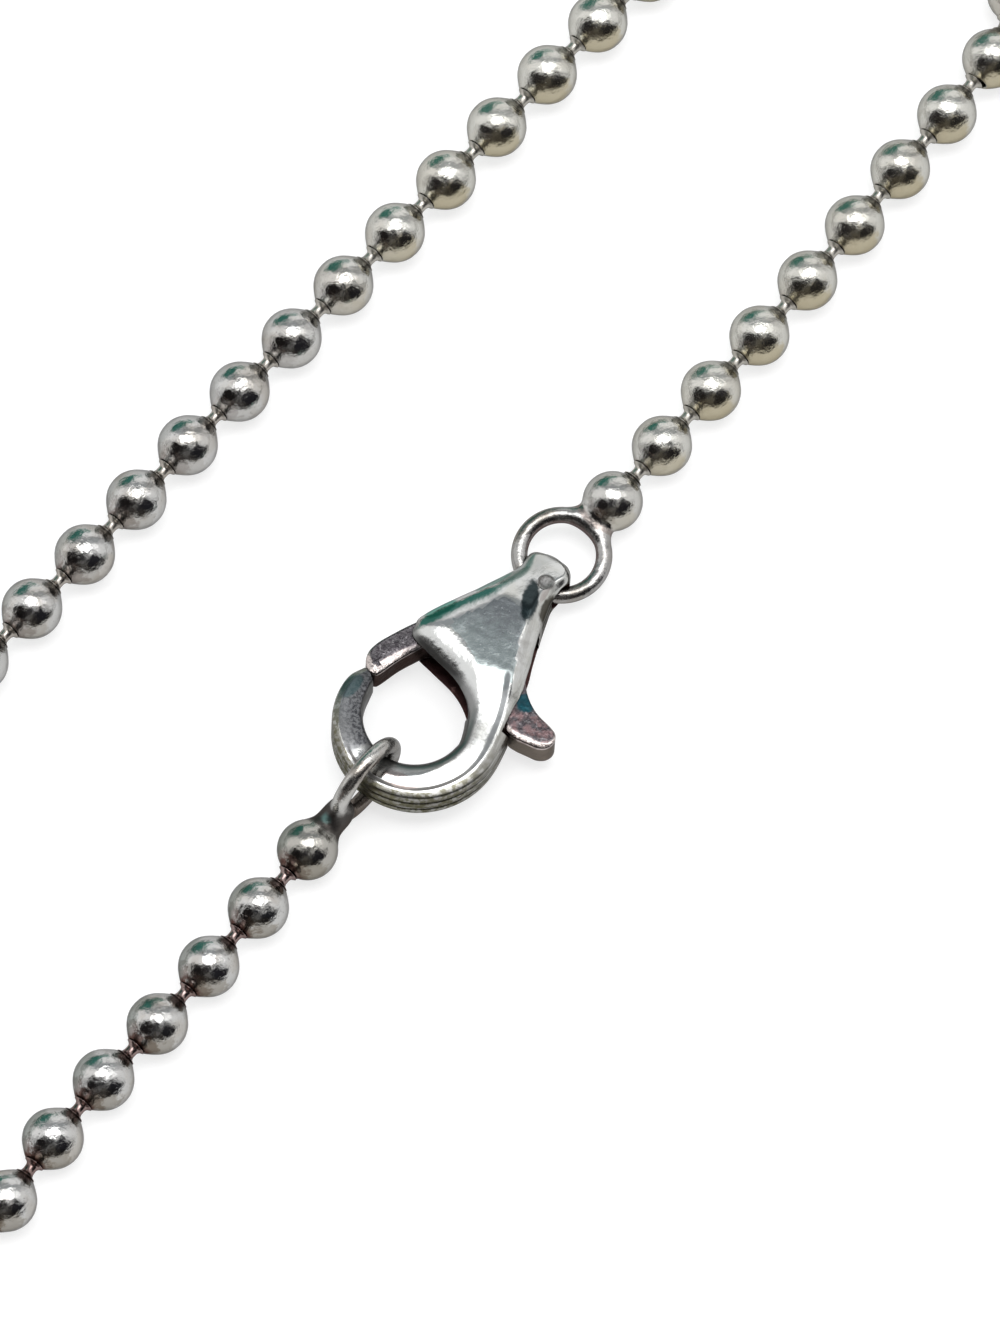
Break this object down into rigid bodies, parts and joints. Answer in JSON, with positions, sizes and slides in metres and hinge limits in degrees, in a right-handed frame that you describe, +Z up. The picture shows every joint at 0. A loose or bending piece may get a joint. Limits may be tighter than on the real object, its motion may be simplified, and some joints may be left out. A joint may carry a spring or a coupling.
{
  "type": "ball chain necklace",
  "caption": "Closed ball chain necklace lying flat: hollow silver balls linked by short bars, its ends soldered to jump rings and joined by a claw clasp with a thumb lever.",
  "frame": {"origin": "on the table, under the middle of the loop's outline", "axes": "+X along the loop's long way, from its wide round end past the clasp to its narrow end; +Z up from the table"},
  "size_m": [0.223, 0.067, 0.005],
  "materials": {
    "ball_silver": "polished silver with light tarnish",
    "bar_silver": "polished silver with warm tarnish",
    "ring_silver": "polished silver wire with warm tarnish",
    "clasp_silver": "polished cast silver",
    "lever_silver": "matte, oxidised cast silver",
    "pin_steel": "plain drawn wire"
  },
  "bodies": {
    "necklace": {"chain_balls": "ball_silver", "chain_bars": "bar_silver", "clasp_end_ring": "ring_silver", "hook_end_ring": "ring_silver", "clasp_body": "clasp_silver", "lever_pin": "pin_steel"},
    "lever": {"clasp_lever": "lever_silver"}
  },
  "joints": [
    {"name": "lever_hinge", "type": "hinge", "parent": "necklace", "child": "lever", "pos_m": [0.06342, -0.00166, 0.0016], "axis": [0.0683, 0.0142, 0.9976], "range_deg": [0, 20], "stiffness_Nm_per_rad": 0.01, "springref_deg": -17.19}
  ]
}
